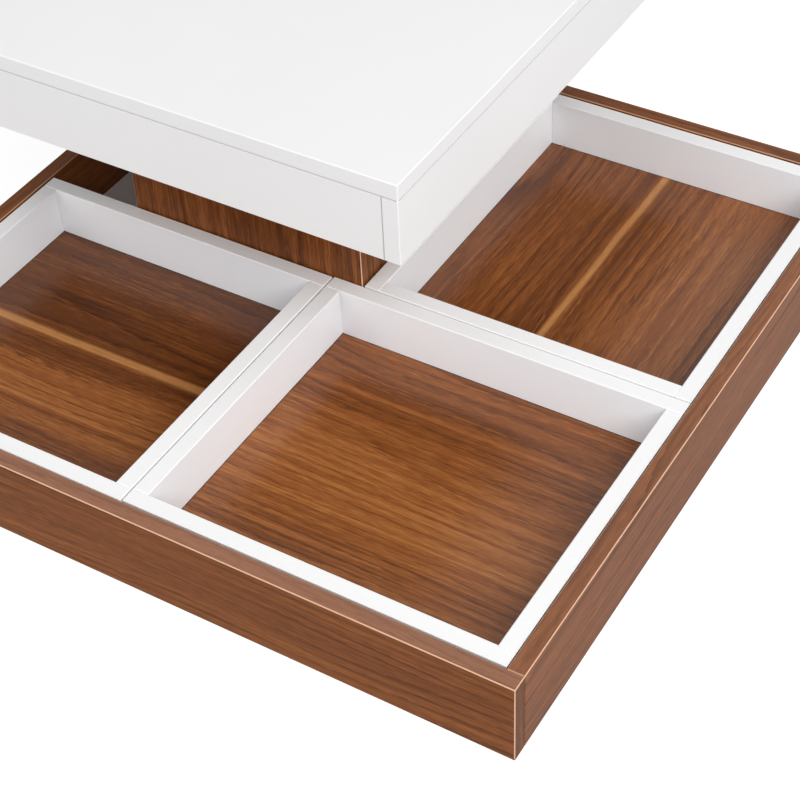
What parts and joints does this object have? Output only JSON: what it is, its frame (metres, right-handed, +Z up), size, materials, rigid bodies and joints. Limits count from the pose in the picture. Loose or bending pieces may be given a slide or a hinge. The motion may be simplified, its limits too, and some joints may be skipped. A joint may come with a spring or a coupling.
{
  "type": "swivel coffee table",
  "caption": "Low square coffee table whose hollow white top swivels on an off-centre walnut column and uncovers lift-out storage trays in the walnut base.",
  "frame": {"origin": "on the swivel's axis at floor level, which is the bottom centre of the box with the top turned open", "axes": "+Z up; X and Y along the sides of the base, whose long free corner is towards -X and -Y; the open top is shifted towards +X and +Y"},
  "size_m": [0.92, 0.92, 0.31],
  "materials": {
    "walnut_board": "walnut foil, satin",
    "walnut_floor": "walnut foil, satin",
    "white_board": "white foil, satin",
    "raw_board": "bare chipboard",
    "raw_pine": "sawn, bare",
    "black_plastic": "moulded",
    "nylon": "moulded",
    "zinc_steel": "zinc plated"
  },
  "bodies": {
    "base": {"base_bottom_panel": "white_board", "rim_left": "walnut_board", "rim_right": "walnut_board", "rim_front": "walnut_board", "rim_back": "walnut_board", "glides": "black_plastic", "column_left": "walnut_board", "column_right": "walnut_board", "column_front": "walnut_board", "column_back": "walnut_board", "column_cap": "raw_board", "column_battens": "raw_pine", "column_foot_screws": "zinc_steel", "swivel_lower_plate": "zinc_steel", "swivel_lower_screws": "zinc_steel", "swivel_rivet": "zinc_steel"},
    "roller_cage": {"swivel_cage": "nylon", "swivel_rollers": "zinc_steel"},
    "top": {"top_panel": "white_board", "apron_front": "white_board", "apron_back": "white_board", "apron_left": "white_board", "apron_right": "white_board", "top_corner_blocks": "raw_pine", "swivel_board": "raw_board", "swivel_upper_plate": "zinc_steel", "swivel_upper_screws": "zinc_steel"},
    "front_left_tray": {"front_left_tray_wall_left": "white_board", "front_left_tray_wall_right": "white_board", "front_left_tray_wall_front": "white_board", "front_left_tray_wall_back": "white_board", "front_left_tray_floor": "walnut_floor"},
    "back_left_tray": {"back_left_tray_wall_left": "white_board", "back_left_tray_wall_right": "white_board", "back_left_tray_wall_front": "white_board", "back_left_tray_wall_back": "white_board", "back_left_tray_floor": "walnut_floor"},
    "front_right_tray": {"front_right_tray_wall_left": "white_board", "front_right_tray_wall_right": "white_board", "front_right_tray_wall_front": "white_board", "front_right_tray_wall_back": "white_board", "front_right_tray_floor": "walnut_floor"}
  },
  "joints": [
    {"name": "top_swivel", "type": "hinge", "parent": "base", "child": "top", "pos_m": [0, 0, 0.275], "axis": [0, 0, 1], "continuous": true},
    {"name": "cage_turn", "type": "hinge", "parent": "base", "child": "roller_cage", "pos_m": [0, 0, 0.275], "axis": [0, 0, 1], "continuous": true},
    {"name": "front_left_tray_lift", "type": "slide", "parent": "base", "child": "front_left_tray", "axis": [0, 0, 1], "range_m": [0, 0.08]},
    {"name": "back_left_tray_lift", "type": "slide", "parent": "base", "child": "back_left_tray", "axis": [0, 0, 1], "range_m": [0, 0.08]},
    {"name": "front_right_tray_lift", "type": "slide", "parent": "base", "child": "front_right_tray", "axis": [0, 0, 1], "range_m": [0, 0.08]}
  ],
  "couplings": [
    {"joint": "cage_turn", "follows": "top_swivel", "ratio": 0.5}
  ]
}
